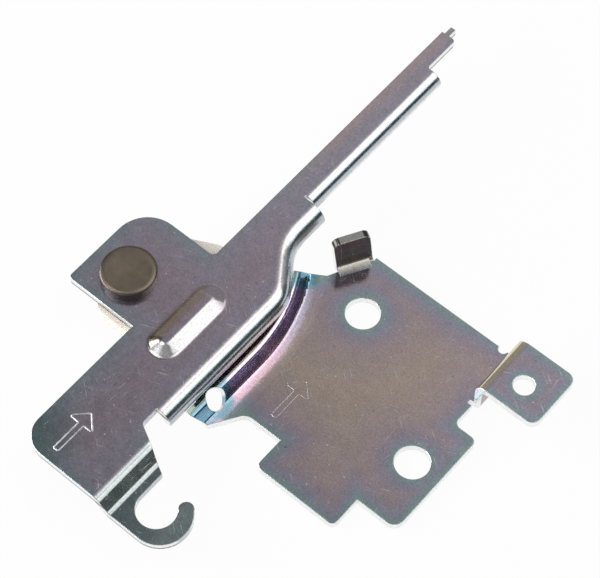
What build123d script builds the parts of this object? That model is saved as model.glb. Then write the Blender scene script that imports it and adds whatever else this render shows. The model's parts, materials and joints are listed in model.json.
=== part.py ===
"""Right-hand appliance door hinge: a folded sheet base and a folded sheet lever on one rivet.

Millimetres. The base plate lies on z = 0 and the origin is the foot of its first fixing hole.
X runs along the plate's long edge and Y along the lever's arm.
"""

import os
from math import cos, radians, sin, tan

from build123d import *

os.makedirs("parts", exist_ok=True)

# Sheet metal, shared by the base and the lever
SHEET = 1.5
INNER_BEND = 0.8
OUTER_BEND = INNER_BEND + SHEET
SHARP_BEND = 0.1
LAND = 1.5

# Heights of the stacked pieces
LUG_RISE = 3.2
PAD_THICKNESS = 2.8
RUNNING_GAP = 0.05
LUG_TOP = SHEET + LUG_RISE
LUG_UNDER = LUG_TOP - SHEET
PAD_TOP = LUG_TOP + PAD_THICKNESS
LEVER_UNDER = PAD_TOP + RUNNING_GAP
LEVER_TOP = LEVER_UNDER + SHEET

# Pivot rivet
PIVOT_X = -34.0
PIVOT_Y = -24.4
SHANK_DIAMETER = 6.0
PIVOT_CLEARANCE = 0.05
SEAT_CLEARANCE = 0.02
HEAD_DIAMETER = 10.4
HEAD_HEIGHT = 1.8
HEAD_DISH = 0.12
HEAD_RIM = 0.5
TAIL_DIAMETER = 9.0
TAIL_RIM = 0.6
WASHER_DIAMETER = 12.0
WASHER_THICKNESS = 1.2

# Base plate outline
PLATE_EDGE_Y = 10.6
PLATE_RIGHT_X = 31.4
PLATE_FRONT_Y = -28.9
FOOT_FRONT_Y = -35.4
FOOT_LEFT_X = 5.3
FOOT_RIGHT_X = 22.8
PLATE_STEP_Y = -6.7
NECK_X = 26.4
CORNER_ROUND = 1.2
WIDE_ROUND = 2.2

# Fixing holes in the base plate
FIXING_DIAMETER = 6.5
FIXING_B_X = 25.5
FIXING_B_Y = -17.25

# Riser between the plate and the pivot lug: a straight run, then a left-hand curve
RISER_X = -3.5
RISER_FRONT_Y = -36.6
RISER_CURVE_Y = -20.0
RISER_RADIUS = 40.2
RISER_TURN = 33.0
RISER_SLOPE = 62.0
RISER_CREST = 1.0
RISER_FOOT = 0.8
FLARE_SLOPE = 12.0
FLARE_RADIUS = 14.0
RISER_LEAN = 1.6
RISER_HOLE_DIAMETER = 4.1
RISER_HOLE_Y = -30.9
RISER_HOLE_X = -8.1
RISER_HOLE_TILT = 30.0
FLAP_X = -2.5
FLAP_CORNER_X = -6.2
FLAP_END_Y = -34.9

# Pivot lug on the upper level
LUG_RADIUS = 6.0
LUG_FRONT_Y = -34.0

# Upright stop tab, set at an angle to the plate
STOP_X = -8.0
STOP_Y = 7.2
STOP_ANGLE = 60.0
STOP_WIDTH = 7.0
STOP_TOP = 9.4
STOP_LEAN = 0.6
STOP_ROUND = 1.3

# Raised screw tab
TAB_X = 26.3
TAB_END_X = 39.0
TAB_FRONT_Y = -1.2
TAB_BACK_Y = 11.0
TAB_TOP = 8.5
TAB_HOLE_DIAMETER = 4.0
TAB_HOLE_X = 32.8
TAB_HOLE_Y = 4.0
TAB_ROUND = 1.8
RELIEF_WIDTH = 0.7
RELIEF_RADIUS = 0.9

# Lever outline
EAR_LEFT_X = -42.0
EAR_BACK_Y = -11.6
EAR_FRONT_Y = -31.6
EAR_ROUND = 6.6
ARM_LEFT_X = -25.2
ARM_END_Y = 53.6
TIP_RIGHT_X = -22.0
TIP_STEP_Y = 45.3
TIP_ROUND = 0.5
BODY_LEFT_X = -26.5
BODY_FRONT_Y = -60.2
BODY_ROUND = 4.8
INSIDE_ROUND = 1.0
OUTSIDE_ROUND = 0.8
NIB_WIDTH = 1.1
NIB_LENGTH = 1.9
NIB_INSET = 0.6

# Main flange of the lever, from its front end to its back end
FLANGE_X = -9.4
FLANGE_FRONT_Y = -40.8
FLANGE_CURVE_Y = -12.0
FLANGE_RADIUS = 9.0
FLANGE_TURN = 36.0
FLANGE_SLANT = 5.5
FLANGE_BACK_Y = 8.4
FLANGE_HEIGHT = 3.1
FLANGE_BEND = 2.9

# Lip along the arm
LIP_X = -18.7
LIP_HEIGHT = 2.4
LIP_GAP = 0.5

# Spring hook on the lever, one step below its main level
HOOK_DROP = 2.4
HOOK_BEND_X = -10.1
HOOK_SLOPE = 42.0
HOOK_FOOT = 1.3
HOOK_X = -0.45
HOOK_Y = -54.2
HOOK_INNER = 3.7
HOOK_OUTER = 5.7
HOOK_OUTER_X = 0.7
HOOK_END = 46.0
NECK_BACK_Y = -44.6
NECK_SLOPE = -27.0

# Stiffening bead pressed up in the lever
BEAD_X = -19.9
BEAD_Y = -24.7
BEAD_LENGTH = 17.4
BEAD_WIDTH = 6.4
BEAD_HEIGHT = 1.1
BEAD_SLOPE = 25.0
BEAD_ROUND = 1.5

# Bearing pad between the lug and the lever
PAD_LEFT_X = -35.5
PAD_RIGHT_X = -19.5
PAD_FRONT_Y = -32.5
PAD_BACK_Y = -8.4
PAD_SLANT_X = -26.4
PAD_SLANT_Y = -13.0
PAD_ROUND = 2.4

HOOK_TOP = LEVER_TOP - HOOK_DROP
HOOK_OUTER_Y = BODY_FRONT_Y + HOOK_OUTER
PIVOT = (PIVOT_X, PIVOT_Y)
RISER_FEET = ((RISER_FOOT, FLARE_SLOPE), (FLARE_RADIUS, 0))
HOOK_FEET = ((HOOK_FOOT, 0),)
FLAP_BLANK_X = FLAP_X + WIDE_ROUND
STOP_FOOT = SHEET + INNER_BEND
STOP_PLANE = Plane(
    origin=(STOP_X, STOP_Y, 0),
    x_dir=(sin(radians(STOP_ANGLE)), -cos(radians(STOP_ANGLE)), 0),
    z_dir=(-cos(radians(STOP_ANGLE)), -sin(radians(STOP_ANGLE)), 0),
)


def round_corners(outline, corners):
    """Round the sketch corners nearest to each (x, y) by its radius."""
    for x, y, radius in corners:
        fillet(outline.vertices().sort_by_distance((x, y, 0))[0], radius)


def polar(x, y, radius, angle):
    """Point at a radius and an angle round (x, y)."""
    return Vector(x + radius * cos(radians(angle)), y + radius * sin(radians(angle)))


def riser_line(side, front):
    """The riser's plan line from y = front, moved to its right by side, in the open line builder."""
    run = Line((RISER_X + side, front), (RISER_X + side, RISER_CURVE_Y))
    curve = JernArc(run @ 1, run % 1, RISER_RADIUS + side, RISER_TURN)
    return run @ 0, curve @ 1, curve % 1


def flange_line(side):
    """The main flange's plan line, moved to its right by side, in the open line builder."""
    run = Line((FLANGE_X + side, FLANGE_FRONT_Y), (FLANGE_X + side, FLANGE_CURVE_Y))
    turn_in = JernArc(run @ 1, run % 1, FLANGE_RADIUS + side, FLANGE_TURN)
    slant = Line(turn_in @ 1, turn_in @ 1 + (turn_in % 1) * FLANGE_SLANT)
    turn_out = JernArc(slant @ 1, slant % 1, FLANGE_RADIUS - side, -FLANGE_TURN)
    last = Line(turn_out @ 1, ((turn_out @ 1).X, FLANGE_BACK_Y))
    return run @ 0, last @ 1


def step_section(low, high, face):
    """Section of a sheet that steps up to the right, from the level low to high.

    The levels are upper faces, and the upright wall's left face is at face.
    """
    foot = face - INNER_BEND
    back = face + SHEET
    crest = face + OUTER_BEND
    with BuildLine() as section:
        Line((foot, low), (foot, low - SHEET))
        RadiusArc((foot, low - SHEET), (back, low + INNER_BEND), -OUTER_BEND)
        Line((back, low + INNER_BEND), (back, high - OUTER_BEND))
        RadiusArc((back, high - OUTER_BEND), (crest, high - SHEET), INNER_BEND)
        Line((crest, high - SHEET), (crest, high))
        RadiusArc((crest, high), (face, high - OUTER_BEND), -OUTER_BEND)
        Line((face, high - OUTER_BEND), (face, low + INNER_BEND))
        RadiusArc((face, low + INNER_BEND), (foot, low), INNER_BEND)
    make_face(section.edges())


def bend_section(low, top):
    """Section of a sheet bent from the level low to upright at top, with its front face at 0."""
    with BuildLine() as section:
        Line((INNER_BEND, low), (INNER_BEND, low - SHEET))
        RadiusArc((INNER_BEND, low - SHEET), (-SHEET, top), OUTER_BEND)
        Line((-SHEET, top), (0, top))
        RadiusArc((0, top), (INNER_BEND, low), -INNER_BEND)
    make_face(section.edges())


def flange_section(top, face, foot, bend):
    """Section of a sheet edge turned down from the level top to foot, with its outer face at face."""
    inner = face - SHEET
    edge = face - bend
    with BuildLine() as section:
        Line((edge, top - SHEET), (edge, top))
        RadiusArc((edge, top), (face, top - bend), bend)
        Polyline((face, top - bend), (face, foot), (inner, foot), (inner, top - bend))
        RadiusArc((inner, top - bend), (edge, top - SHEET), SHEET - bend)
    make_face(section.edges())


def feet_size(slope, feet):
    """Width and height of the bends that ease a slope out, each a radius and the slope it ends at."""
    width = height = 0
    for radius, ease in feet:
        width += radius * (sin(radians(slope)) - sin(radians(ease)))
        height += radius * (cos(radians(ease)) - cos(radians(slope)))
        slope = ease
    return width, height


def slope_width(drop, slope, feet):
    """Width in plan of a sheet that slopes down by drop, from its land to the end of its feet."""
    width, height = feet_size(slope, feet)
    return LAND + (drop - height) / tan(radians(slope)) + width


def slope_section(start, top, drop, slope, crest, feet):
    """Section of a sheet that slopes down by drop from the level top, with a land at start."""
    corner = start + LAND
    half_turn = tan(radians(slope / 2))
    _, feet_height = feet_size(slope, feet)
    fall = drop - feet_height
    with BuildLine() as section:
        ends = []
        for depth in (0, SHEET):
            bend = max(crest - depth, SHARP_BEND)
            land = Line((start, top - depth), (corner - (bend + depth) * half_turn, top - depth))
            over = JernArc(land @ 1, land % 1, bend, -slope)
            foot = polar(corner + fall / tan(radians(slope)), top - fall, depth, -90 - slope)
            last = Line(over @ 1, foot)
            steep = slope
            for radius, ease in feet:
                last = JernArc(last @ 1, last % 1, radius + depth, steep - ease)
                steep = ease
            ends.append(last @ 1)
        Line((start, top), (start, top - SHEET))
        Line(*ends)
    make_face(section.edges())


def neck_back(x):
    """Back edge of the hook's neck at x, which slants down from the lever's flange."""
    return NECK_BACK_Y + (x - FLANGE_X + FLANGE_BEND) * tan(radians(NECK_SLOPE))


RISER_WIDTH = slope_width(LUG_RISE, RISER_SLOPE, RISER_FEET)
HOOK_FLAT_X = HOOK_BEND_X + slope_width(HOOK_DROP, HOOK_SLOPE, HOOK_FEET)

# Base plate: lower plate, riser, pivot lug, stop tab and screw tab folded from one sheet
with BuildPart() as base_plate:
    # Lower plate with its fixing holes
    with BuildSketch() as plate:
        with BuildLine():
            flap_end, riser_back, _ = riser_line(0, FLAP_END_Y)
            stop_left = STOP_PLANE.from_local_coords((INNER_BEND, 0, STOP_WIDTH / 2))
            stop_right = STOP_PLANE.from_local_coords((INNER_BEND, 0, -STOP_WIDTH / 2))
            Polyline(
                riser_back,
                stop_left,
                stop_right,
                (stop_right.X, PLATE_EDGE_Y),
                (TAB_X - INNER_BEND, PLATE_EDGE_Y),
                (TAB_X - INNER_BEND, TAB_FRONT_Y - RELIEF_WIDTH),
                (NECK_X, TAB_FRONT_Y - RELIEF_WIDTH),
                (NECK_X, PLATE_STEP_Y),
                (PLATE_RIGHT_X, PLATE_STEP_Y),
                (PLATE_RIGHT_X, PLATE_FRONT_Y),
                (FOOT_RIGHT_X, PLATE_FRONT_Y),
                (FOOT_RIGHT_X, FOOT_FRONT_Y),
                (FOOT_LEFT_X, FOOT_FRONT_Y),
                (FOOT_LEFT_X, PLATE_FRONT_Y),
                (FLAP_BLANK_X, PLATE_FRONT_Y),
                (FLAP_BLANK_X, FLAP_END_Y),
                flap_end,
            )
        make_face()
        round_corners(
            plate,
            (
                (FOOT_LEFT_X, FOOT_FRONT_Y, CORNER_ROUND),
                (FOOT_RIGHT_X, FOOT_FRONT_Y, CORNER_ROUND),
                (PLATE_RIGHT_X, PLATE_STEP_Y, CORNER_ROUND),
                (NECK_X, PLATE_STEP_Y, CORNER_ROUND),
                (PLATE_RIGHT_X, PLATE_FRONT_Y, WIDE_ROUND),
            ),
        )
        with Locations((TAB_X - INNER_BEND - 2 * RELIEF_RADIUS, PLATE_EDGE_Y)):
            Circle(RELIEF_RADIUS, mode=Mode.SUBTRACT)
        with Locations((0, 0), (FIXING_B_X, FIXING_B_Y)):
            Circle(FIXING_DIAMETER / 2, mode=Mode.SUBTRACT)
    extrude(amount=SHEET)

    # Riser, cut off at a slant at both ends
    with BuildLine():
        _, riser_end, riser_heading = riser_line(0, RISER_FRONT_Y)
    with BuildSketch(Plane((RISER_X, RISER_FRONT_Y, 0), (1, 0, 0), (0, -1, 0))):
        slope_section(-RISER_WIDTH, LUG_TOP, LUG_RISE, RISER_SLOPE, RISER_CREST, RISER_FEET)
    sweep()
    front_cut = Plane((RISER_X, FLAP_END_Y, SHEET), (0, -1, 0), (-1, 0, 0))
    back_cut = Plane(riser_end + (0, 0, SHEET), riser_heading, riser_heading.cross(Vector(0, 0, 1)))
    for cut, left, lean in ((front_cut, 1, FLAP_END_Y - RISER_FRONT_Y), (back_cut, -1, -RISER_LEAN)):
        with BuildSketch(cut):
            with BuildLine():
                Polyline(
                    (0, 0),
                    (lean, LUG_RISE),
                    (abs(lean) + SHEET, LUG_RISE),
                    (abs(lean) + SHEET, -SHEET),
                    (0, -SHEET),
                    close=True,
                )
            make_face()
        extrude(amount=left * RISER_WIDTH, mode=Mode.SUBTRACT)

    # Slanted side of the flap at the riser's front end
    with BuildSketch() as trim:
        with BuildLine():
            Polyline(
                (FLAP_X, PLATE_FRONT_Y),
                (FLAP_CORNER_X, FLAP_END_Y),
                (FLAP_CORNER_X, RISER_FRONT_Y),
                (FLAP_BLANK_X, RISER_FRONT_Y),
                (FLAP_BLANK_X, PLATE_FRONT_Y),
                close=True,
            )
        make_face()
        round_corners(trim, ((FLAP_X, PLATE_FRONT_Y, WIDE_ROUND),))
    extrude(amount=LUG_TOP, mode=Mode.SUBTRACT)

    # Pivot lug on the upper level
    with BuildSketch(Plane.XY.offset(LUG_UNDER)):
        with BuildLine():
            riser_line(-RISER_WIDTH, LUG_FRONT_Y)
            CenterArc(PIVOT, LUG_RADIUS, 0, 360)
        make_hull()
        with Locations(PIVOT):
            Circle(SHANK_DIAMETER / 2 + SEAT_CLEARANCE, mode=Mode.SUBTRACT)
    extrude(amount=SHEET)

    # Hole through the riser's wall
    hole_place = (RISER_HOLE_X, RISER_HOLE_Y, (SHEET + LUG_TOP) / 2)
    with Locations(Location(hole_place, (0, RISER_HOLE_TILT, 0))):
        Cylinder(RISER_HOLE_DIAMETER / 2, 2 * OUTER_BEND, mode=Mode.SUBTRACT)

    # Stop tab: a bend along the plate's edge, then a wall that leans sideways
    with BuildSketch(STOP_PLANE.offset(-STOP_WIDTH / 2)):
        bend_section(SHEET, STOP_FOOT)
    extrude(amount=STOP_WIDTH)
    with BuildSketch(Plane(STOP_PLANE.origin, -STOP_PLANE.z_dir, STOP_PLANE.x_dir)) as wall:
        with BuildLine():
            Polyline(
                (-STOP_WIDTH / 2, STOP_FOOT),
                (STOP_WIDTH / 2, STOP_FOOT),
                (STOP_WIDTH / 2 - STOP_LEAN, STOP_TOP),
                (-STOP_WIDTH / 2 - STOP_LEAN, STOP_TOP),
                close=True,
            )
        make_face()
        fillet(wall.vertices().group_by(Axis.Y)[-1], STOP_ROUND)
    extrude(amount=-SHEET)

    # Screw tab
    with BuildSketch(Plane.XZ.offset(-TAB_FRONT_Y)):
        step_section(SHEET, TAB_TOP, TAB_X)
    extrude(amount=TAB_FRONT_Y - TAB_BACK_Y)
    with BuildSketch(Plane.XY.offset(TAB_TOP - SHEET)) as tab:
        with Locations((TAB_X + OUTER_BEND, TAB_FRONT_Y)):
            tab_size = (TAB_END_X - TAB_X - OUTER_BEND, TAB_BACK_Y - TAB_FRONT_Y)
            Rectangle(*tab_size, align=(Align.MIN, Align.MIN))
        round_corners(
            tab,
            ((TAB_END_X, TAB_FRONT_Y, TAB_ROUND), (TAB_END_X, TAB_BACK_Y, TAB_ROUND)),
        )
        with Locations((TAB_HOLE_X, TAB_HOLE_Y)):
            Circle(TAB_HOLE_DIAMETER / 2, mode=Mode.SUBTRACT)
    extrude(amount=SHEET)

# Lever: arm, ear, flange, lip, bead and spring hook folded from one sheet
with BuildPart() as lever_arm:
    # Main level
    with BuildSketch(Plane.XY.offset(LEVER_UNDER)) as lever:
        with BuildLine():
            flange_front, flange_back = flange_line(-FLANGE_BEND)
            Polyline(
                flange_back,
                (LIP_X - OUTER_BEND, FLANGE_BACK_Y),
                (LIP_X - OUTER_BEND, TIP_STEP_Y),
                (TIP_RIGHT_X, TIP_STEP_Y),
                (TIP_RIGHT_X, ARM_END_Y),
                (ARM_LEFT_X, ARM_END_Y),
                (ARM_LEFT_X, EAR_BACK_Y),
                (EAR_LEFT_X, EAR_BACK_Y),
                (EAR_LEFT_X, EAR_FRONT_Y),
                (BODY_LEFT_X, EAR_FRONT_Y),
                (BODY_LEFT_X, BODY_FRONT_Y),
                (HOOK_BEND_X, BODY_FRONT_Y),
                (HOOK_BEND_X, neck_back(HOOK_BEND_X)),
                (flange_front.X, NECK_BACK_Y),
                flange_front,
            )
        make_face()
        round_corners(
            lever,
            (
                (ARM_LEFT_X, EAR_BACK_Y, INSIDE_ROUND),
                (EAR_LEFT_X, EAR_BACK_Y, EAR_ROUND),
                (EAR_LEFT_X, EAR_FRONT_Y, OUTSIDE_ROUND),
                (BODY_LEFT_X, BODY_FRONT_Y, BODY_ROUND),
                (flange_front.X, NECK_BACK_Y, INSIDE_ROUND),
                (TIP_RIGHT_X, TIP_STEP_Y, TIP_ROUND),
                (TIP_RIGHT_X, ARM_END_Y, OUTSIDE_ROUND),
            ),
        )
        with Locations((ARM_LEFT_X + NIB_INSET, ARM_END_Y)):
            Rectangle(NIB_WIDTH, NIB_LENGTH, align=(Align.MIN, Align.MIN))
        with Locations(PIVOT):
            Circle(SHANK_DIAMETER / 2 + PIVOT_CLEARANCE, mode=Mode.SUBTRACT)
    extrude(amount=SHEET)

    # Bead, raised above and hollow below
    hollow = 2 * SHEET * tan(radians(BEAD_SLOPE / 2))
    with BuildSketch(Plane.XY.offset(LEVER_TOP)):
        with Locations((BEAD_X, BEAD_Y)):
            SlotOverall(BEAD_LENGTH, BEAD_WIDTH, rotation=90)
    extrude(amount=BEAD_HEIGHT, taper=90 - BEAD_SLOPE)
    bead_edges = lever_arm.edges(Select.LAST).group_by(Axis.Z)
    fillet(bead_edges[0] + bead_edges[-1], BEAD_ROUND)
    with BuildSketch(Plane.XY.offset(LEVER_UNDER)):
        with Locations((BEAD_X, BEAD_Y)):
            SlotOverall(BEAD_LENGTH - hollow, BEAD_WIDTH - hollow, rotation=90)
    extrude(amount=BEAD_HEIGHT, taper=90 - BEAD_SLOPE, mode=Mode.SUBTRACT)

    # Main flange, turned down along an S-shaped edge
    with BuildLine():
        flange_line(0)
    with BuildSketch(Plane((FLANGE_X, FLANGE_FRONT_Y, 0), (1, 0, 0), (0, -1, 0))):
        flange_section(LEVER_TOP, 0, LEVER_TOP - FLANGE_HEIGHT, FLANGE_BEND)
    sweep()

    # Lip along the arm
    with BuildSketch(Plane.XZ.offset(-FLANGE_BACK_Y - LIP_GAP)):
        flange_section(LEVER_TOP, LIP_X, LEVER_TOP - LIP_HEIGHT, OUTER_BEND)
    extrude(amount=FLANGE_BACK_Y + LIP_GAP - TIP_STEP_Y)

    # Joggle down to the hook, cut off along the neck
    with BuildSketch(Plane.XZ.offset(-BODY_FRONT_Y)):
        slope_section(HOOK_BEND_X, LEVER_TOP, HOOK_DROP, HOOK_SLOPE, OUTER_BEND, HOOK_FEET)
    extrude(amount=BODY_FRONT_Y - neck_back(HOOK_BEND_X))
    with BuildSketch(Plane.XY.offset(HOOK_TOP - SHEET)):
        with BuildLine():
            Polyline(
                (HOOK_BEND_X, neck_back(HOOK_BEND_X)),
                (HOOK_FLAT_X, neck_back(HOOK_BEND_X)),
                (HOOK_FLAT_X, neck_back(HOOK_FLAT_X)),
                close=True,
            )
        make_face()
    extrude(amount=HOOK_DROP + SHEET, mode=Mode.SUBTRACT)

    # Hook: a plate that runs into a three-quarter ring with a rounded tip
    with BuildSketch(Plane.XY.offset(HOOK_TOP - SHEET)):
        slot_left = HOOK_X - HOOK_INNER
        with BuildLine():
            Polyline(
                (HOOK_FLAT_X, BODY_FRONT_Y),
                (HOOK_OUTER_X, BODY_FRONT_Y),
                (HOOK_OUTER_X, HOOK_Y),
                (slot_left, HOOK_Y),
                (slot_left, neck_back(slot_left)),
                (HOOK_FLAT_X, neck_back(HOOK_FLAT_X)),
                close=True,
            )
        make_face()
        tip_outer = polar(HOOK_OUTER_X, HOOK_OUTER_Y, HOOK_OUTER, HOOK_END)
        tip_inner = polar(HOOK_X, HOOK_Y, HOOK_INNER, HOOK_END)
        with BuildLine():
            CenterArc((HOOK_OUTER_X, HOOK_OUTER_Y), HOOK_OUTER, -90, 90 + HOOK_END)
            Polyline(tip_outer, (HOOK_OUTER_X, HOOK_Y), (HOOK_OUTER_X, BODY_FRONT_Y))
        make_face()
        with Locations((HOOK_X, HOOK_Y)):
            Circle(HOOK_INNER, mode=Mode.SUBTRACT)
        with Locations((tip_outer + tip_inner) / 2):
            Circle((tip_outer - tip_inner).length / 2)
    extrude(amount=SHEET)

# Rivet: flat head above the lever, shank through the stack, formed tail below the washer
with BuildPart() as pivot_rivet:
    with BuildSketch(Plane((PIVOT_X, PIVOT_Y, 0), (1, 0, 0), (0, -1, 0))) as rivet_half:
        head_under = LEVER_TOP + RUNNING_GAP
        head_top = head_under + HEAD_HEIGHT
        tail_top = LUG_UNDER - WASHER_THICKNESS
        with BuildLine():
            Polyline(
                (0, 0),
                (TAIL_DIAMETER / 2, 0),
                (TAIL_DIAMETER / 2, tail_top),
                (SHANK_DIAMETER / 2, tail_top),
                (SHANK_DIAMETER / 2, head_under),
                (HEAD_DIAMETER / 2, head_under),
                (HEAD_DIAMETER / 2, head_top),
                (HEAD_DIAMETER / 2 - HEAD_RIM, head_top),
                (0, head_top - HEAD_DISH),
                close=True,
            )
        make_face()
        round_corners(
            rivet_half,
            ((HEAD_DIAMETER / 2, head_top, HEAD_RIM / 2), (TAIL_DIAMETER / 2, 0, TAIL_RIM)),
        )
    revolve(axis=Axis((PIVOT_X, PIVOT_Y, 0), (0, 0, 1)))

# Bearing pad between the lug and the lever
with BuildPart() as bearing_pad:
    with BuildSketch(Plane.XY.offset(LUG_TOP)) as pad:
        with BuildLine():
            Polyline(
                (PAD_LEFT_X, PAD_FRONT_Y),
                (PAD_RIGHT_X, PAD_FRONT_Y),
                (PAD_RIGHT_X, PAD_BACK_Y),
                (PAD_SLANT_X, PAD_BACK_Y),
                (PAD_LEFT_X, PAD_SLANT_Y),
                close=True,
            )
        make_face()
        fillet(pad.vertices(), PAD_ROUND)
        with Locations(PIVOT):
            Circle(SHANK_DIAMETER / 2 + SEAT_CLEARANCE, mode=Mode.SUBTRACT)
    extrude(amount=PAD_THICKNESS)

# Washer under the lug
with BuildPart() as tail_washer:
    with BuildSketch(Plane.XY.offset(LUG_UNDER - WASHER_THICKNESS)):
        with Locations(PIVOT):
            Circle(WASHER_DIAMETER / 2)
            Circle(SHANK_DIAMETER / 2 + SEAT_CLEARANCE, mode=Mode.SUBTRACT)
    extrude(amount=WASHER_THICKNESS)

base_plate.part.label = "base_plate"
export_step(base_plate.part, "parts/base_plate.step")
lever_arm.part.label = "lever_arm"
export_step(lever_arm.part, "parts/lever_arm.step")
pivot_rivet.part.label = "pivot_rivet"
export_step(pivot_rivet.part, "parts/pivot_rivet.step")
bearing_pad.part.label = "bearing_pad"
export_step(bearing_pad.part, "parts/bearing_pad.step")
tail_washer.part.label = "tail_washer"
export_step(tail_washer.part, "parts/tail_washer.step")
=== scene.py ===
"""Looks of the appliance door hinge: iridescent zinc plate, dark rivet, nylon pad and stamped arrows."""

import json
import math

import bmesh
import bpy
from mathutils import Matrix, Vector


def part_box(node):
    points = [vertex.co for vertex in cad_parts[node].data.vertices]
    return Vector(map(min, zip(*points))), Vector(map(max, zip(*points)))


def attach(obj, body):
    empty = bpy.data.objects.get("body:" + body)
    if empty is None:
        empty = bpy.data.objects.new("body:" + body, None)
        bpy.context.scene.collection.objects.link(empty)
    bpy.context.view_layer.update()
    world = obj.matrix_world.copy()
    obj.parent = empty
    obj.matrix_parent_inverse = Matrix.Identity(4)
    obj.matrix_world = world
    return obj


MM = 0.001

# Camera, fitted to the photograph
CAMERA_AZIMUTH = math.radians(40.5)
CAMERA_ELEVATION = math.radians(59.75)
CAMERA_DISTANCE = 423.2 * MM
CAMERA_TARGET = Vector((-12.5, -2.77, 0)) * MM
CAMERA_CLIP = 10 * MM
LENS = 139.8
SENSOR = 36

# Base plate in plan, in millimetres: left, right, front and back of each block
PLATE_BLOCKS = {
    "main": (-60, 26.4, -28.9, 10.6),
    "side": (0, 31.4, -28.9, -6.7),
    "foot": (5.3, 22.8, -35.4, 0),
    "flap": (-60, -3.4, -34.9, 0),
    "screw tab": (15, 39, -1.2, 11),
}
BASE_TOP = 1.5

# Hole through the riser's wall, in millimetres: its place in plan and its radius
RISER_HOLE = (-8.1, -30.9, 2.05)

# The plate's slanted edge beside the stop tab, in millimetres: a point on it and the inward direction
SLANT_X = -9.98
SLANT_Y = 1.89
SLANT_TURN = math.radians(-26.9)

# Foot of the stop tab: middle of its front face, the plan angle it looks along, and its drawn-up sheet
STOP_FOOT = Vector((-8, 7.2, BASE_TOP - 0.03)) * MM
STOP_TURN = math.radians(-30)
STOP_SIDES = (-3.4 * MM, 2.8 * MM)
STOP_RUN = 2.7 * MM
STOP_RISE = math.radians(17)
STOP_STEPS = 12
STOP_SUNK = 0.1 * MM
STOP_SHARP = math.radians(40)

# Lever in plan, in millimetres, in the same order, with the eye of its hook
LEVER_BLOCKS = {
    "body": (-26.5, -9.4, -60.2, 8.4),
    "ear": (-42, -9.4, -31.6, -11.6),
    "arm": (-25.2, -18.7, -20, 53.6),
    "hook": (-14, 4.2, -60.2, -46.8),
}
LEVER_TOP = 9.05
HOOK_EYE = (-0.45, -54.2, 2.4)

# Pressed bead in plan, in millimetres: middle, half the straight run, and half the width
BEAD_X = -19.9
BEAD_Y = -24.7
BEAD_RUN = 5.5
BEAD_HALF = 3.2

# Stamped arrows: outline, rounded corners, places in plan and the radius of each raised line
MARK_LENGTH = 9 * MM
MARK_WIDTH = 5.4 * MM
MARK_STROKE = 1.1 * MM
MARK_ROUND = 0.25 * MM
MARK_ROUND_POINTS = 4
LINE_SIDES = 8
LEVER_MARK = Vector((-20.2, -53.3)) * MM
LEVER_LINE = 0.19 * MM
BASE_MARK = Vector((1.3, -21.6)) * MM
BASE_LINE = 0.065 * MM

# Film on level faces: depth in millimetres of its last tint, drift with the clouds, tints from the cut edge
FILM_REACH = 20
FILM_DRIFT = 0.24
BASE_FILM = (
    (0.0, (0.55, 0.72, 0.64)),
    (0.2, (0.5, 0.63, 0.68)),
    (0.28, (0.57, 0.58, 0.71)),
    (0.39, (0.66, 0.555, 0.645)),
    (0.52, (0.74, 0.6, 0.61)),
    (0.8, (0.81, 0.66, 0.575)),
    (1.0, (0.83, 0.68, 0.56)),
)
LEVER_FILM = (
    (0.0, (0.46, 0.6, 0.62)),
    (0.18, (0.54, 0.59, 0.68)),
    (0.35, (0.61, 0.57, 0.68)),
    (0.6, (0.63, 0.53, 0.63)),
    (1.0, (0.64, 0.52, 0.59)),
)

# Film on the bends: tints by their tilt, and tints of the bends that face left
BASE_LOW_BENDS = (
    (0.0, (0.84, 0.6, 0.66)),
    (0.03, (0.92, 0.56, 0.72)),
    (0.2, (0.95, 0.66, 0.82)),
    (0.5, (0.6, 0.42, 0.6)),
    (0.7, (0.5, 0.45, 0.45)),
)
BASE_HIGH_BENDS = (
    (0.0, (0.7, 0.64, 0.68)),
    (0.1, (0.9, 0.82, 0.98)),
    (0.3, (0.74, 0.6, 1.0)),
    (0.5, (0.6, 0.44, 0.92)),
    (0.7, (0.56, 0.5, 0.5)),
)
LEVER_BENDS = (
    (0.0, (0.7, 0.67, 0.68)),
    (0.1, (0.8, 0.79, 0.8)),
    (0.24, (0.42, 0.52, 0.56)),
    (0.6, (0.5, 0.54, 0.58)),
    (1.0, (0.5, 0.52, 0.55)),
)
BASE_LEFT_BEND = (0.74, 0.66, 0.48)
LEVER_LEFT_BEND = (0.64, 0.51, 0.43)

# Cut edges, and the upright faces of folded sheet with the plan angles in degrees that they look along; the base's
# upright faces get a painted dark reflection
SHEARED_EDGE = (0.87, 0.87, 0.87)
# darker band on the lever's cut edges
DARK_EDGE_BAND = (0.2, 0.19, 0.19)
BASE_UPRIGHT_DARK_REFLECTION = (0.3, 0.245, 0.225)
BASE_UPRIGHT_TURNS = (-30, 150, 180, 0)
LEVER_UPRIGHT = (0.52, 0.53, 0.56)
LEVER_UPRIGHT_TURNS = (0,)

# Local tints, some of them painted shade or a painted highlight, each with its share of the mix
RISER_FOOT_TINT = (0.42, 0.42, 0.52)
RISER_FOOT_SHARE = 0.85
RISER_END_TINT = (0.1, 0.38, 0.46)
RISER_END_SHARE = 0.8
STOP_FOOT_TINT = (0.44, 0.42, 0.38)
# painted shade over the lamp's glint on the stop tab's crown
STOP_CROWN_SHADE = (0.07, 0.065, 0.06)
STOP_TOP_TINT = (0.62, 0.62, 0.58)
# painted shade at the far end of the bead
BEAD_END_SHADE = (0.38, 0.33, 0.36)
BEAD_END_SHADE_SHARE = 0.85
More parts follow.
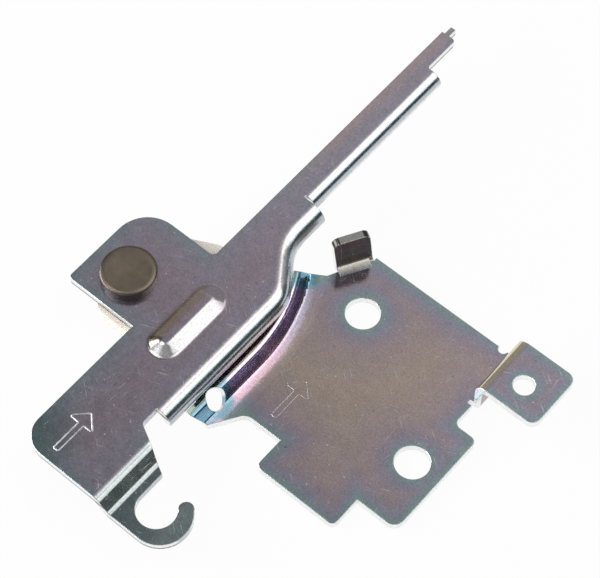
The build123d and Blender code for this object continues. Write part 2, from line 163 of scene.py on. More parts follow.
# painted shade on the bead's left-facing foot
BEAD_FOOT_SHADE = (0.3, 0.23, 0.2)
BEAD_FOOT_SHADE_SHARE = 0.6
HOOK_TINT = (0.24, 0.34, 0.34)
HOOK_TIP_TINT = (0.44, 0.54, 0.53)
HOOK_SHARE = 0.8
HOOK_BEND_TINT = (0.44, 0.5, 0.49)
HOOK_BEND_SHARE = 0.7
# painted highlight: the lip's bends are turned near white
LIP_HIGHLIGHT = (0.93, 0.93, 0.94)
LIP_HIGHLIGHT_SHARE = 0.85
LOW_CORNER_TINT = (0.24, 0.38, 0.39)
LOW_CORNER_SHARE = 0.8
ARM_EDGE_TINT = (0.8, 0.6, 0.62)
ARM_EDGE_SHARE = 0.8

# Limits between which each local tint comes or goes, in millimetres: on the base
CREST_Z = (2.0, 3.4)
RISER_FOOT_Y = (-22, -8)
RISER_FOOT_Z = (1.8, 2.6)
RISER_END_RIM = (0.3, 1.9)
RISER_END_DRIFT = 3
STOP_TAB_X = (5, 8)
STOP_TAB_Y = (3, 4.2)
STOP_CROWN_Z = (6.5, 7.5)
STOP_TOP_Z = (7, 8)

# The same on the lever
DARK_BAND_Z = 7.6
DARK_BAND_HALF = (0.25, 0.5)
DARK_FOOT_Z = (5.45, 5.7)
BEAD_END_Y = (-0.5, 1.2)
BEAD_END_RIM = (0.1, 0.4)
BEAD_FOOT_INNER = (2.2, 2.5)
BEAD_FOOT_OUTER = (2.8, BEAD_HALF)
HOOK_Z = (6.7, 8.6)
HOOK_TIP_X = (-0.5, 4)
HOOK_BEND_X = (-16, -15)
HOOK_BEND_Y = (-47.5, -46)
LIP_X = (-18.9, -18.5)
LIP_Y = (9, 10)
LOW_CORNER_REACH = (3, 13)
ARM_EDGE_Y = (2, 26)
ARM_EDGE_REACH = (0.3, 3.2)

# The same for the upright faces of folded sheet
FOLD_X = (28.5, 29.5)
FOLD_Y = (11, 12)
FOLD_Z = (1.6, 2.4)

# Tilt is 0 on a level face and 1 on an upright one: where bends and cut edges begin
BEND_TILT = (0.0015, 0.014)
LEFT_BEND_TILT = (0.002, 0.05)
EDGE_TILT = (0.74, 0.9)

# Parts of the normal: how far a face looks left, strays sideways from that, or keeps to a plan angle
LEFTWARD = (0.05, 0.15)
SIDEWAYS_SQUARED = (0.04, 0.16)
ALONG_TURN = (0.93, 0.98)

# Texture and wear of the plating: noise scales are per metre, limits are noise values
NOISE_MIDDLE = 0.5
CLOUD_SCALE = 60
GRAIN_SCALE = 2600
GRAIN_SHADE = 0.9
GRAIN_HEIGHT = 0.018 * MM
MOTTLE_SCALE = 420
MOTTLE_SHADE = 0.26
MOTTLE_ROUGHNESS = 0.14
DARK_SPECK_SCALE = 1250
DARK_SPECK_LIMITS = (0.2, 0.28)
DARK_SPECK_TINT = (0.2, 0.18, 0.17)
DARK_SPECK_SHARE = 0.5
BRIGHT_SPECK_SCALE = 1500
BRIGHT_SPECK_LIMITS = (0.74, 0.8)
BARE_ZINC = (0.9, 0.89, 0.9)
BARE_SHARE = 0.75
BARE_ROUGHNESS = 0.2
WAVE_SCALE = 45
WAVE_HEIGHT = 0.12 * MM
BASE_ROUGHNESS = 0.13
LEVER_ROUGHNESS = 0.19
WASHER_ROUGHNESS = 0.25

# Rubbed edges: their radius, how far the rounded normal leaves the face, and the patches they keep to
PLATE_ROUND = 0.22 * MM
ROUND_SAMPLES = 6
RUBBED_BEND = (0.015, 0.12)
RUBBED_SCALE = 260
RUBBED_LIMITS = (0.36, 0.58)
RUBBED_SHARE = 0.6

# Scratches: turn in radians, length and width of each set, and their patches, with the scale per millimetre
SCRATCHES = (
    (0.4, 6 * MM, 0.19 * MM),
    (1.5, 4 * MM, 0.17 * MM),
    (2.5, 5 * MM, 0.2 * MM),
)
SCRATCH_LIMITS = (0.62, 0.7)
SCRATCH_PATCH_SCALE = 0.16
SCRATCH_PATCH_LIMITS = (0.5, 0.62)

# Rivet: radii in millimetres of its flat middle and of its rim, which gets painted shade, fall of its shoulder,
# turning rings
RIVET_FLAT = 4.1
RIVET_RIM = (4.4, 5.1)
RIVET_SHOULDER = 0.24
RIVET_ROUND = 0.15 * MM
RIVET_RING_PHASE = 14
RIVET_RING_SHARE = 0.08
RIVET_RING_BUMP = 0.4
RIVET_CLOUD_SCALE = 330
RIVET_CLOUD_SHARE = 0.6
RIVET_GRAIN_SHARE = 0.25
RIVET_GRAIN_HEIGHT = 0.012 * MM
RIVET_TINTS = ((0.2, (0.24, 0.2, 0.155)), (0.75, (0.4, 0.325, 0.255)))
RIVET_RIM_SHADE = (0.08, 0.07, 0.06)
RIVET_RIM_SHADE_SHARE = 0.7
RIVET_SIDE_SHADE = (0.1, 0.085, 0.075)
RIVET_TOP_NORMAL = (0.1, 0.7)
RIVET_ROUGHNESS = 0.26
RIVET_ROUGHNESS_SPREAD = 0.15

# Nylon pad
NYLON_TINTS = ((0.3, (0.88, 0.81, 0.73)), (0.7, (0.93, 0.88, 0.8)))
NYLON_CLOUD_SCALE = 260
NYLON_GRAIN_SCALE = 2200
NYLON_GRAIN_HEIGHT = 0.02 * MM
NYLON_ROUGHNESS = 0.42
NYLON_ROUGHNESS_SPREAD = 0.15

# Metal of the stamped lines
LINE_TINTS = ((0.35, (0.55, 0.55, 0.58)), (0.65, (0.9, 0.9, 0.92)))
LINE_GRAIN_SCALE = 900
LINE_ROUGHNESS = 0.3
LINE_ROUGHNESS_SPREAD = 0.2

# Floor: size in metres, its grey, and the share of it that shows as plain white
FLOOR_SIZE = 6
FLOOR_GREY = (0.86, 0.86, 0.86, 1)
FLOOR_WHITE = (1, 1, 1, 1)
FLOOR_WHITE_SHARE = 0.95
FLOOR_WHITE_RAYS = ("Is Camera Ray", "Is Glossy Ray", "Is Transmission Ray")

# Studio walls: brightness by direction, to the right and to the back
WALL_DARKEST = 0.06
WALL_LIGHTEST = 0.39
WALL_START = 0.06
WALL_LEAN = 0.35
WALL_LEFT_LIMIT = -0.42
WALL_TO_BACK = (-0.15, 0.12)
WALL_TO_RIGHT = (0.15, 0.6)
WALL_FRONT = 0.3
WALL_RIGHT = 0.08

# Softboxes: tilt and plan angle of the face that mirrors each end, breadth in metres, radiance
SOFTBOXES = {
    "key_edge": ((8, 0), (12, 0), 0.62, 0.5),
    "key_upper": ((12, 0), (18.5, 0), 0.62, 1.02),
    "key_middle": ((18.5, 0), (23.5, 0), 0.62, 0.62),
    "key_lower": ((23.5, 0), (38.5, 0), 0.62, 1.16),
    "front_high": ((13, -90), (27, -90), 0.3, 1.3),
    "front_low": ((34, -105), (54, -115), 0.9, 4.4),
}
SOFTBOX_DISTANCE = 0.8
POWER_PER_RADIANCE = 4


class Value:
    """A number or colour inside a node tree, so that shader maths reads as plain expressions."""

    def __init__(self, nodes, socket):
        self.nodes = nodes
        self.socket = socket

    def __add__(self, other):
        return self.nodes.math("ADD", self, other)

    def __radd__(self, other):
        return self.nodes.math("ADD", other, self)

    def __sub__(self, other):
        return self.nodes.math("SUBTRACT", self, other)

    def __rsub__(self, other):
        return self.nodes.math("SUBTRACT", other, self)

    def __mul__(self, other):
        return self.nodes.math("MULTIPLY", self, other)

    def __rmul__(self, other):
        return self.nodes.math("MULTIPLY", other, self)

    def __truediv__(self, other):
        return self.nodes.math("DIVIDE", self, other)

    def __pow__(self, other):
        return self.nodes.math("POWER", self, other)


class Nodes:
    """A node tree that is being made."""

    def __init__(self, tree):
        self.tree = tree
        tree.nodes.clear()

    def add(self, kind, settings=None, inputs=None, output=0):
        """Add a node, set it up, feed its sockets, and return one of its outputs."""
        node = self.tree.nodes.new(kind)
        for name, setting in (settings or {}).items():
            if name == "stops":
                self.set_stops(node.color_ramp, setting)
            else:
                setattr(node, name, setting)
        for key, value in (inputs or {}).items():
            if isinstance(value, Value):
                self.tree.links.new(value.socket, node.inputs[key])
            else:
                node.inputs[key].default_value = value
        return Value(self, node.outputs[output]) if node.outputs else None

    @staticmethod
    def set_stops(ramp, stops):
        while len(ramp.elements) < len(stops):
            ramp.elements.new(1)
        for element, (place, colour) in zip(ramp.elements, stops):
            element.position = place
            element.color = (*colour, 1)

    def math(self, operation, *values):
        return self.add("ShaderNodeMath", {"operation": operation}, dict(enumerate(values)))

    def least(self, *values):
        result = values[0]
        for value in values[1:]:
            result = self.math("MINIMUM", result, value)
        return result

    def most(self, *values):
        result = values[0]
        for value in values[1:]:
            result = self.math("MAXIMUM", result, value)
        return result

    def step(self, value, low, high):
        """A smooth step from 0 at low to 1 at high."""
        inputs = {"Value": value, "From Min": low, "From Max": high}
        return self.add("ShaderNodeMapRange", {"interpolation_type": "SMOOTHSTEP"}, inputs)

    def ramp(self, value, stops):
        return self.add("ShaderNodeValToRGB", {"stops": stops}, {0: value})

    def mix(self, factor, first, second, blend="MIX"):
        """Mix two colours; a plain colour is three numbers, and the colour sockets go by their index."""
        settings = {"data_type": "RGBA", "blend_type": blend}
        colours = [c if isinstance(c, Value) else (*c, 1) for c in (first, second)]
        return self.add("ShaderNodeMix", settings, {0: factor, 6: colours[0], 7: colours[1]}, 2)

    def noise(self, place, scale, detail=2, roughness=0.5):
        inputs = {"Vector": place, "Scale": scale, "Detail": detail, "Roughness": roughness}
        return self.add("ShaderNodeTexNoise", None, inputs)

    def rounded_edges(self, radius):
        """A normal that rounds sharp edges a little."""
        return self.add("ShaderNodeBevel", {"samples": ROUND_SAMPLES}, {"Radius": radius})

    def bump(self, height, strength, distance, normal=None):
        inputs = {"Strength": strength, "Distance": distance, "Height": height}
        if normal is not None:
            inputs["Normal"] = normal
        return self.add("ShaderNodeBump", None, inputs)

    def mapped(self, place, turn, size):
        """Coordinates of a pattern that is turned in plan, then stretched to the given size."""
        inputs = {"Vector": place, "Rotation": (0, 0, turn), "Scale": size}
        return self.add("ShaderNodeMapping", {"vector_type": "TEXTURE"}, inputs)

    def coordinates(self, output):
        return self.add("ShaderNodeTexCoord", output=output)

    def split(self, vector):
        """The three parts of a vector."""
        first = self.add("ShaderNodeSeparateXYZ", None, {"Vector": vector})
        return [Value(self, output) for output in first.socket.node.outputs]

    def surface(self, inputs):
        """Close a material with one principled shader."""
        shader = self.add("ShaderNodeBsdfPrincipled", None, inputs)
        self.add("ShaderNodeOutputMaterial", None, {"Surface": shader})


class Spot:
    """A point on a folded sheet: its place in millimetres, the way it faces, and clouds in its film."""

    def __init__(self, nodes):
        self.place = nodes.coordinates("Object")
        self.x, self.y, self.z = [part * (1 / MM) for part in nodes.split(self.place)]
        self.normal_x, self.normal_y, normal_z = nodes.split(nodes.coordinates("Normal"))
        self.tilt = 1 - normal_z
        self.cloud = nodes.noise(self.place, CLOUD_SCALE) - NOISE_MIDDLE


def new_material(name):
    material = bpy.data.materials.new(name)
    material.use_nodes = True
    return material, Nodes(material.node_tree)


def dress(piece, material):
    piece.data.materials.clear()
    piece.data.materials.append(material)


def length_in_plan(across, along):
    """Length of a line in plan, from its two parts."""
    return (across ** 2 + along ** 2) ** 0.5


def rim_distance(nodes, spot, blocks, holes):
    """Distance in millimetres from the nearest cut edge of a sheet, in plan."""
    inside = []
    for left, right, front, back in blocks.values():
        inside.append(nodes.least(spot.x - left, right - spot.x, spot.y - front, back - spot.y))
    rim = nodes.most(*inside)
    for hole_x, hole_y, radius in holes:
        rim = nodes.least(rim, length_in_plan(spot.x - hole_x, spot.y - hole_y) - radius)
    return rim


def slant_distance(spot):
    """Distance in millimetres from the plate's slanted edge beside the stop tab."""
    return (spot.x - SLANT_X) * math.cos(SLANT_TURN) + (spot.y - SLANT_Y) * math.sin(SLANT_TURN)


def bead_distance(nodes, spot):
    """Distance in millimetres from the middle line of the lever's bead, in plan."""
    beyond = nodes.most(nodes.math("ABSOLUTE", spot.y - BEAD_Y) - BEAD_RUN, 0)
    return length_in_plan(spot.x - BEAD_X, beyond)


def film_tint(nodes, spot, rim, film):
    """Film tint of a level face by its depth behind the cut edge."""
    depth = (nodes.most(rim, 0) / FILM_REACH) ** 0.5
    return nodes.ramp(depth + spot.cloud * FILM_DRIFT, film)


def faces_left(nodes, spot):
    """1 on faces that look left, and not much to the front or the back."""
    leftward = nodes.step(spot.normal_x * -1, *LEFTWARD)
    return leftward * (1 - nodes.step(spot.normal_y ** 2, *SIDEWAYS_SQUARED))


def folded_faces(nodes, spot, turns):
    """1 on the upright faces of folded sheet that look along one of the plan angles, in degrees."""
    along = []
    for turn in turns:
        angle = math.radians(turn)
        along.append(spot.normal_x * math.cos(angle) + spot.normal_y * math.sin(angle))
    folded = nodes.step(nodes.most(*along), *ALONG_TURN) * nodes.step(spot.z, *FOLD_Z)
    return folded * (1 - nodes.step(spot.y, *FOLD_Y)) * (1 - nodes.step(spot.x, *FOLD_X))


def base_tints(nodes, spot, blocks, holes, upright):
    """Film tints of the base, with painted shade on the stop tab's crown and a painted dark reflection on its
    upright faces: of its level faces, its bends, and its cut and upright faces.
    """
    rim = nodes.least(rim_distance(nodes, spot, blocks, holes), slant_distance(spot))
    low_bends = nodes.ramp(spot.tilt, BASE_LOW_BENDS)
    high_bends = nodes.ramp(spot.tilt, BASE_HIGH_BENDS)
    bends = nodes.mix(nodes.step(spot.z, *CREST_Z), low_bends, high_bends)
    riser_foot = nodes.step(spot.y, *RISER_FOOT_Y) * (1 - nodes.step(spot.z, *RISER_FOOT_Z))
    bends = nodes.mix(riser_foot * RISER_FOOT_SHARE, bends, RISER_FOOT_TINT)
    at_back = nodes.step(spot.y, *STOP_TAB_Y)
    riser_end = 1 - nodes.step(rim + spot.cloud * RISER_END_DRIFT, *RISER_END_RIM)
    bends = nodes.mix(riser_end * (1 - at_back) * RISER_END_SHARE, bends, RISER_END_TINT)
    stop_tab = at_back * (1 - nodes.step(spot.x, *STOP_TAB_X))
    # grey on the stop tab's low bends, and painted shade on its crown
    stop_tint_and_shade = nodes.mix(nodes.step(spot.z, *STOP_CROWN_Z), STOP_FOOT_TINT, STOP_CROWN_SHADE)
    bends = nodes.mix(stop_tab, bends, stop_tint_and_shade)

    level = film_tint(nodes, spot, rim, BASE_FILM)
    level = nodes.mix(stop_tab * nodes.step(spot.z, *STOP_TOP_Z), level, STOP_TOP_TINT)
    left_bends = nodes.mix(nodes.step(spot.tilt, *LEFT_BEND_TILT), level, BASE_LEFT_BEND)
    bends = nodes.mix(faces_left(nodes, spot), bends, left_bends)
    # on the base, the tint of the upright faces is a painted dark reflection
    edges = nodes.mix(folded_faces(nodes, spot, BASE_UPRIGHT_TURNS), SHEARED_EDGE, upright)
    return level, bends, edges


def lever_tints(nodes, spot, blocks, holes, upright):
    """Film tints of the lever, with painted shade on the bead and a painted highlight on the lip, in the same
    order; the washer is plated with it and takes them too.
    """
    level = film_tint(nodes, spot, rim_distance(nodes, spot, blocks, holes), LEVER_FILM)
    leftward = faces_left(nodes, spot)
    left_bends = nodes.mix(nodes.step(spot.tilt, *LEFT_BEND_TILT), level, LEVER_LEFT_BEND)
    bends = nodes.mix(leftward, nodes.ramp(spot.tilt, LEVER_BENDS), left_bends)

    bead = bead_distance(nodes, spot)
    # painted shade over the far end of the bead's slopes
    shaded_bead_end = nodes.step(spot.y - BEAD_Y - BEAD_RUN, *BEAD_END_Y)
    shaded_bead_end = shaded_bead_end * (1 - nodes.step(bead - BEAD_HALF, *BEAD_END_RIM))
    bends = nodes.mix(shaded_bead_end * BEAD_END_SHADE_SHARE, bends, BEAD_END_SHADE)
    # painted shade on the left-facing foot of the bead
    shaded_bead_foot = nodes.step(bead, *BEAD_FOOT_INNER) * (1 - nodes.step(bead, *BEAD_FOOT_OUTER))
    bends = nodes.mix(shaded_bead_foot * leftward * BEAD_FOOT_SHADE_SHARE, bends, BEAD_FOOT_SHADE)
    hook_bend = (1 - nodes.step(spot.y, *HOOK_BEND_Y)) * nodes.step(spot.x, *HOOK_BEND_X)
    bends = nodes.mix(hook_bend * HOOK_BEND_SHARE, bends, HOOK_BEND_TINT)
    # painted highlight on the lip's bends
    lit_lip = nodes.step(spot.y, *LIP_Y) * nodes.step(spot.x, *LIP_X)
    bends = nodes.mix(lit_lip * LIP_HIGHLIGHT_SHARE, bends, LIP_HIGHLIGHT)

    hook = 1 - nodes.step(spot.z, *HOOK_Z)
    hook_tint = nodes.mix(nodes.step(spot.x, *HOOK_TIP_X), HOOK_TINT, HOOK_TIP_TINT)
    level = nodes.mix(hook * HOOK_SHARE, level, hook_tint)
    corner_x, _, corner_y, _ = LEVER_BLOCKS["body"]
    corner = length_in_plan(spot.x - corner_x, spot.y - corner_y)
    low_corner = 1 - nodes.step(corner, *LOW_CORNER_REACH)
    level = nodes.mix(low_corner * LOW_CORNER_SHARE, level, LOW_CORNER_TINT)
    arm_left = LEVER_BLOCKS["arm"][0]
    arm_edge = nodes.step(spot.y, *ARM_EDGE_Y) * (1 - nodes.step(spot.x - arm_left, *ARM_EDGE_REACH))
    level = nodes.mix(arm_edge * ARM_EDGE_SHARE, level, ARM_EDGE_TINT)

    # cut edges are darker in a band near the lever's underside and at the flange's foot
    dark_band = 1 - nodes.step(nodes.math("ABSOLUTE", spot.z - DARK_BAND_Z), *DARK_BAND_HALF)
    dark_foot = 1 - nodes.step(spot.z, *DARK_FOOT_Z)
    edges = nodes.mix(nodes.most(dark_band, dark_foot), SHEARED_EDGE, DARK_EDGE_BAND)
    edges = nodes.mix(folded_faces(nodes, spot, LEVER_UPRIGHT_TURNS), edges, upright)
    return level, bends, edges


def scratches(nodes, place, turn, length, width):
    """Fine straight scratches in one direction, from 0 to 1."""
    lines = nodes.noise(nodes.mapped(place, turn, (length, width, 1)), 1, detail=3, roughness=0.6)
    patches = nodes.noise(nodes.mapped(place, turn, (MM, MM, MM)), SCRATCH_PATCH_SCALE)
    return nodes.step(lines, *SCRATCH_LIMITS) * nodes.step(patches, *SCRATCH_PATCH_LIMITS)


def rubbed_edges(nodes, place, rounded):
    """1 where sharp edges are rubbed bare, in patches."""
    faced = nodes.add("ShaderNodeNewGeometry", output="Normal")
    product = {"operation": "DOT_PRODUCT"}
    together = nodes.add("ShaderNodeVectorMath", product, {0: rounded, 1: faced}, "Value")
    patches = nodes.noise(place, RUBBED_SCALE, detail=3)
    return nodes.step(1 - together, *RUBBED_BEND) * nodes.step(patches, *RUBBED_LIMITS)


def zinc_plate(name, sheet_tints, blocks, holes, upright, roughness):
    """Zinc plate with a thin passivation film, whose tint follows the cut edges and the bends, with painted shade
    and painted highlights in places.
    """
    material, nodes = new_material(name)
    spot = Spot(nodes)
    place = spot.place
    level, bends, edges = sheet_tints(nodes, spot, blocks, holes, upright)
    sides = nodes.mix(nodes.step(spot.tilt, *EDGE_TILT), bends, edges)
    tint = nodes.mix(nodes.step(spot.tilt, *BEND_TILT), level, sides)

    grain = nodes.noise(place, GRAIN_SCALE, detail=3, roughness=0.7)
    mottle = nodes.noise(place, MOTTLE_SCALE, detail=4, roughness=0.6) - NOISE_MIDDLE
    shade = 1 + (grain - NOISE_MIDDLE) * GRAIN_SHADE + mottle * MOTTLE_SHADE
    worn_and_painted_light = nodes.mix(1.0, tint, shade, "MULTIPLY")
    dark_specks = 1 - nodes.step(nodes.noise(place, DARK_SPECK_SCALE, detail=1), *DARK_SPECK_LIMITS)
    worn_and_painted_light = nodes.mix(dark_specks * DARK_SPECK_SHARE, worn_and_painted_light, DARK_SPECK_TINT)
    bright_specks = nodes.step(nodes.noise(place, BRIGHT_SPECK_SCALE, detail=1), *BRIGHT_SPECK_LIMITS)
    bare = nodes.most(*[scratches(nodes, place, *each) for each in SCRATCHES], bright_specks)
    rounded = nodes.rounded_edges(PLATE_ROUND)
    rubbed = rubbed_edges(nodes, place, rounded)
    colour = nodes.mix(nodes.most(bare * BARE_SHARE, rubbed * RUBBED_SHARE), worn_and_painted_light, BARE_ZINC)

    waves = nodes.noise(place, WAVE_SCALE)
    wavy = nodes.bump(waves, strength=0.25, distance=WAVE_HEIGHT, normal=rounded)
    nodes.surface({
        "Base Color": colour,
        "Metallic": 1.0,
        "Roughness": roughness + mottle * MOTTLE_ROUGHNESS + bare * BARE_ROUGHNESS,
        "Normal": nodes.bump(grain, strength=0.45, distance=GRAIN_HEIGHT, normal=wavy),
    })
    return material


def rivet_steel(pivot):
    """Dark satin steel with faint turning rings round the pivot, painted shade on its rim and sides, and a rounded
    shoulder.
    """
    material, nodes = new_material("rivet_steel")
    place = nodes.coordinates("Object")
    x, y, _ = nodes.split(place)
    radius = length_in_plan(x - pivot.x, y - pivot.y) * (1 / MM)
    rings = nodes.math("SINE", radius * RIVET_RING_PHASE) * 0.5 + 0.5
    cloud = nodes.noise(place, RIVET_CLOUD_SCALE, detail=4, roughness=0.6)
    grain = nodes.noise(place, GRAIN_SCALE, detail=2, roughness=0.6)
    tone = cloud * RIVET_CLOUD_SHARE + grain * RIVET_GRAIN_SHARE + rings * RIVET_RING_SHARE
    colour = nodes.ramp(tone, RIVET_TINTS)
    # painted shade: a dark ring on the rim of the head
    colour = nodes.mix(nodes.step(radius, *RIVET_RIM) * RIVET_RIM_SHADE_SHARE, colour, RIVET_RIM_SHADE)
    _, _, upward = nodes.split(nodes.coordinates("Normal"))
    # painted shade on the sides of the head
    colour = nodes.mix(nodes.step(upward, *RIVET_TOP_NORMAL), RIVET_SIDE_SHADE, colour)
    rounded = nodes.rounded_edges(RIVET_ROUND)
    shoulder = nodes.most(radius - RIVET_FLAT, 0) ** 2 * -RIVET_SHOULDER
    domed = nodes.bump(shoulder, strength=1.0, distance=MM, normal=rounded)
    brushing = rings * RIVET_RING_BUMP + grain
    nodes.surface({
        "Base Color": colour,
        "Metallic": 1.0,
        "Roughness": RIVET_ROUGHNESS + cloud * RIVET_ROUGHNESS_SPREAD,
        "Normal": nodes.bump(brushing, strength=0.2, distance=RIVET_GRAIN_HEIGHT, normal=domed),
    })
    return material


def natural_nylon():
    """Creamy moulded nylon, slightly cloudy."""
    material, nodes = new_material("pad_nylon")
    place = nodes.coordinates("Object")
    cloud = nodes.noise(place, NYLON_CLOUD_SCALE, detail=3, roughness=0.6)
    grain = nodes.noise(place, NYLON_GRAIN_SCALE)
    nodes.surface({
        "Base Color": nodes.ramp(cloud, NYLON_TINTS),
        "Roughness": NYLON_ROUGHNESS + grain * NYLON_ROUGHNESS_SPREAD,
        "Normal": nodes.bump(grain, strength=0.15, distance=NYLON_GRAIN_HEIGHT),
    })
    return material


def bright_line():
    """Bare bright metal along a stamped line."""
    material, nodes = new_material("stamped_line")
    grain = nodes.noise(nodes.coordinates("Object"), LINE_GRAIN_SCALE, detail=3, roughness=0.6)
    nodes.surface({
        "Base Color": nodes.ramp(grain, LINE_TINTS),
        "Metallic": 1.0,
        "Roughness": LINE_ROUGHNESS + grain * LINE_ROUGHNESS_SPREAD,
    })
    return material


def stamped_line_tree(material):
    """Geometry nodes that lay a fine round ridge along the edges of an outline."""
    tree = bpy.data.node_groups.new("stamped_line", "GeometryNodeTree")
    tree.interface.new_socket("Outline", in_out="INPUT", socket_type="NodeSocketGeometry")
    radius = tree.interface.new_socket("Line radius", in_out="INPUT", socket_type="NodeSocketFloat")
    tree.interface.new_socket("Ridge", in_out="OUTPUT", socket_type="NodeSocketGeometry")
    nodes = Nodes(tree)
    outline = nodes.add("NodeGroupInput", output="Outline")
    line_radius = nodes.add("NodeGroupInput", output="Line radius")
    path = nodes.add("GeometryNodeMeshToCurve", None, {"Mesh": outline})
    corners = {"Curve": path, "Radius": MARK_ROUND, "Count": MARK_ROUND_POINTS}
    rounded = nodes.add("GeometryNodeFilletCurve", {"mode": "POLY"}, corners)
    circle = {"Resolution": LINE_SIDES, "Radius": line_radius}
    profile = nodes.add("GeometryNodeCurvePrimitiveCircle", None, circle)
    ridge = nodes.add("GeometryNodeCurveToMesh", None, {"Curve": rounded, "Profile Curve": profile})
    realized = nodes.add("GeometryNodeRealizeInstances", None, {"Geometry": ridge})
    finished = nodes.add("GeometryNodeSetMaterial", None, {"Geometry": realized, "Material": material})
    nodes.add("NodeGroupOutput", None, {"Ridge": finished})
    return tree, radius.identifier


def arrow_outline(centre, height):
    """Outline mesh of a plain arrow that points along +Y."""
    half = MARK_WIDTH / 2
    stroke = MARK_STROKE / 2
    end = MARK_LENGTH / 2
    head = end - half
    corners = (
        (-stroke, -end),
        (stroke, -end),
        (stroke, head),
        (half, head),
        (0, end),
        (-half, head),
        (-stroke, head),
    )
    points = [(centre.x + x, centre.y + y, height) for x, y in corners]
    edges = [(i, (i + 1) % len(points)) for i in range(len(points))]
    mesh = bpy.data.meshes.new("arrow_outline")
    mesh.from_pydata(points, edges, [])
    return mesh


def stamped_arrow(name, centre, height, radius, tree, radius_input, body):
    """A stamped arrow as fine ridges on a sheet."""
    piece = bpy.data.objects.new(name, arrow_outline(centre, height))
    bpy.context.scene.collection.objects.link(piece)
    modifier = piece.modifiers.new("ridges", "NODES")
    modifier.node_group = tree
    modifier[radius_input] = radius
    evaluated = piece.evaluated_get(bpy.context.evaluated_depsgraph_get())
    mesh = bpy.data.meshes.new_from_object(evaluated)
    piece.modifiers.clear()
    piece.data = mesh
    mesh.name = name
    mesh.shade_smooth()
    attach(piece, body)


def stop_tab_foot(name, material, body):
    """Sheet that is drawn up at the foot of the stop tab, sunk slightly into the tab and the plate."""
    facing = Vector((math.cos(STOP_TURN), math.sin(STOP_TURN), 0))
    across = Vector((-facing.y, facing.x, 0))
    radius = STOP_RUN / math.sin(STOP_RISE)
    section = [(STOP_RUN, -STOP_SUNK)]
    for step in range(STOP_STEPS + 1):
        tilt = STOP_RISE * step / STOP_STEPS
        section.append((STOP_RUN - radius * math.sin(tilt), radius * (1 - math.cos(tilt))))
    section.append((-STOP_SUNK, section[-1][1]))
    section.append((-STOP_SUNK, -STOP_SUNK))
    shape = bmesh.new()
    ends = []
    for side in STOP_SIDES:
        points = [STOP_FOOT + facing * out + across * side + Vector((0, 0, up)) for out, up in section]
        ends.append([shape.verts.new(point) for point in points])
        shape.faces.new(ends[-1])
    for index in range(len(section)):
        after = (index + 1) % len(section)
        shape.faces.new((ends[0][index], ends[0][after], ends[1][after], ends[1][index]))
    bmesh.ops.recalc_face_normals(shape, faces=shape.faces)
    mesh = bpy.data.meshes.new(name)
    shape.to_mesh(mesh)
    shape.free()
    mesh.shade_smooth()
    mesh.set_sharp_from_angle(angle=STOP_SHARP)
    piece = bpy.data.objects.new(name, mesh)
    bpy.context.scene.collection.objects.link(piece)
    dress(piece, material)
    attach(piece, body)


def make_floor():
    """Pale floor that shows white and keeps a faint shadow."""
    bpy.ops.mesh.primitive_plane_add(size=FLOOR_SIZE)
    floor = bpy.context.object
    floor.name = "floor"
    material, nodes = new_material("floor")
    seen = nodes.most(*[nodes.add("ShaderNodeLightPath", output=ray) for ray in FLOOR_WHITE_RAYS])
    paper = nodes.add("ShaderNodeBsdfDiffuse", None, {"Color": FLOOR_GREY})
    white = nodes.add("ShaderNodeEmission", None, {"Color": FLOOR_WHITE, "Strength": 1.0})
    surface = nodes.add("ShaderNodeMixShader", None, {0: seen * FLOOR_WHITE_SHARE, 1: paper, 2: white})
    nodes.add("ShaderNodeOutputMaterial", None, {"Surface": surface})
    dress(floor, material)


def make_world():
    """Grey studio: lighter towards the back, dark on the right beyond the softboxes."""
    world = bpy.data.worlds.new("studio")
    bpy.context.scene.world = world
    world.use_nodes = True
    nodes = Nodes(world.node_tree)
    right, back, _ = nodes.split(nodes.coordinates("Generated"))
    to_back = nodes.step(back, *WALL_TO_BACK)
    slope = nodes.most(right, WALL_LEFT_LIMIT) * WALL_LEAN + back + WALL_START
    wall = nodes.most(WALL_DARKEST, nodes.least(slope, WALL_LIGHTEST))
    wall = nodes.most(wall, (1 - to_back) * WALL_FRONT)
    dim = nodes.step(right, *WALL_TO_RIGHT) * to_back
    tone = wall * (1 - dim) + dim * WALL_RIGHT
    background = nodes.add("ShaderNodeBackground", None, {"Color": tone, "Strength": 1.0})
    nodes.add("ShaderNodeOutputWorld", None, {"Surface": background})


def view_direction():
    """Direction from the hinge to the camera."""
    level = math.cos(CAMERA_ELEVATION)
    right = math.sin(CAMERA_AZIMUTH) * level
    back = -math.cos(CAMERA_AZIMUTH) * level
    return Vector((right, back, math.sin(CAMERA_ELEVATION)))


def mirrored(tilt, turn):
    """Where the camera looks in a face that leans by tilt towards the plan angle turn, in degrees."""
    lean = math.radians(tilt)
    towards = math.radians(turn)
    level = math.sin(lean)
    face = Vector((level * math.cos(towards), level * math.sin(towards), math.cos(lean)))
    view = view_direction()
    return face * (2 * view.dot(face)) - view


def softbox(name, first, last, breadth, radiance):
    """A soft lamp between two directions from the hinge, given by how bright its face looks."""
    middle = (first + last).normalized()
    along = (first - last).normalized()
    length = 2 * SOFTBOX_DISTANCE * math.tan(first.angle(last) / 2)
    lamp = bpy.data.lights.new(name, "AREA")
    lamp.shape = "RECTANGLE"
    lamp.size = breadth
    lamp.size_y = length
    lamp.energy = POWER_PER_RADIANCE * radiance * breadth * length
    box = bpy.data.objects.new(name, lamp)
    bpy.context.scene.collection.objects.link(box)
    box.location = CAMERA_TARGET + middle * SOFTBOX_DISTANCE
    box.rotation_mode = "QUATERNION"
    box.rotation_quaternion = Matrix((along.cross(middle), along, middle)).transposed().to_quaternion()


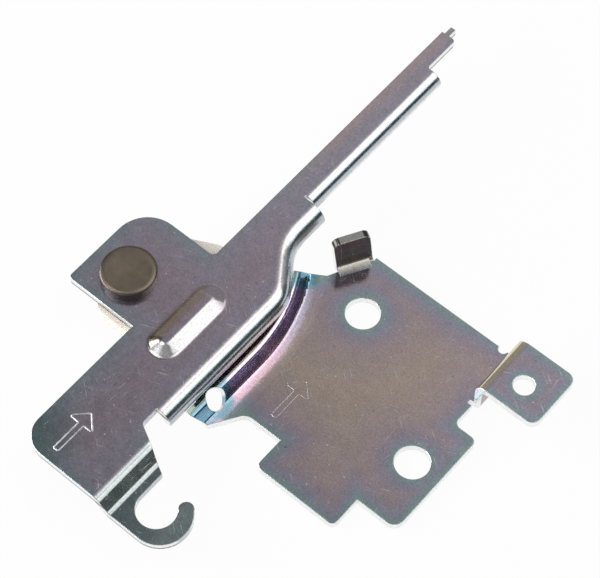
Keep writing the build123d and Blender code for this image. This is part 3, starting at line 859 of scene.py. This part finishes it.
def make_camera():
    """Camera at the photograph's viewing angle."""
    back = view_direction()
    data = bpy.data.cameras.new("camera")
    data.lens = LENS
    data.sensor_width = SENSOR
    data.clip_start = CAMERA_CLIP
    camera = bpy.data.objects.new("camera", data)
    bpy.context.scene.collection.objects.link(camera)
    camera.location = CAMERA_TARGET + back * CAMERA_DISTANCE
    camera.rotation_mode = "QUATERNION"
    camera.rotation_quaternion = (-back).to_track_quat("-Z", "Y")
    bpy.context.scene.camera = camera


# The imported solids, and what the materials need to know of them
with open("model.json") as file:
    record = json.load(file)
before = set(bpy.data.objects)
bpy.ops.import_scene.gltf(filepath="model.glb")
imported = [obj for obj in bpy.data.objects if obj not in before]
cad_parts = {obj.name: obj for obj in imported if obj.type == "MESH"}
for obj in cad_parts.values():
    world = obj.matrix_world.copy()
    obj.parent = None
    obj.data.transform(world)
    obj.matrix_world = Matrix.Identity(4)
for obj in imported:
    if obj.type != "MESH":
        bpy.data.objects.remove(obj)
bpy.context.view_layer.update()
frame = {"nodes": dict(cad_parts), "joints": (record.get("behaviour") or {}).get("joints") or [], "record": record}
parts = frame["nodes"]
pivot = Vector(frame["joints"][0]["pos_m"])
plate_holes = [RISER_HOLE]
for mount in frame["record"]["mounts"]:
    if mount["kind"] == "bore":
        plate_holes.append((mount["pos_m"][0] / MM, mount["pos_m"][1] / MM, mount["dims"]["r_mm"]))
washer_low, washer_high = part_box("tail_washer")
washer_block = {
    "washer": (washer_low[0] / MM, washer_high[0] / MM, washer_low[1] / MM, washer_high[1] / MM)
}

make_camera()

# Materials of the solids
base_zinc = zinc_plate(
    "base_zinc", base_tints, PLATE_BLOCKS, plate_holes, BASE_UPRIGHT_DARK_REFLECTION, BASE_ROUGHNESS
)
lever_zinc = zinc_plate(
    "lever_zinc", lever_tints, LEVER_BLOCKS, [HOOK_EYE], LEVER_UPRIGHT, LEVER_ROUGHNESS
)
washer_zinc = zinc_plate(
    "washer_zinc", lever_tints, washer_block, [], SHEARED_EDGE, WASHER_ROUGHNESS
)
dress(parts["base_plate"], base_zinc)
dress(parts["lever_arm"], lever_zinc)
dress(parts["tail_washer"], washer_zinc)
dress(parts["pivot_rivet"], rivet_steel(pivot))
dress(parts["bearing_pad"], natural_nylon())

# Drawn-up sheet at the stop tab, and the stamped arrows
stop_tab_foot("stop_tab_foot", base_zinc, "base")
line_tree, line_input = stamped_line_tree(bright_line())
stamped_arrow(
    "lever_mark", LEVER_MARK, LEVER_TOP * MM, LEVER_LINE, line_tree, line_input, "lever"
)
stamped_arrow(
    "base_mark", BASE_MARK, BASE_TOP * MM, BASE_LINE, line_tree, line_input, "base"
)

# Floor and light
make_floor()
make_world()
for lamp_name, (first, last, breadth, radiance) in SOFTBOXES.items():
    softbox(lamp_name, mirrored(*first), mirrored(*last), breadth, radiance)
bpy.context.scene.view_settings.view_transform = "Standard"
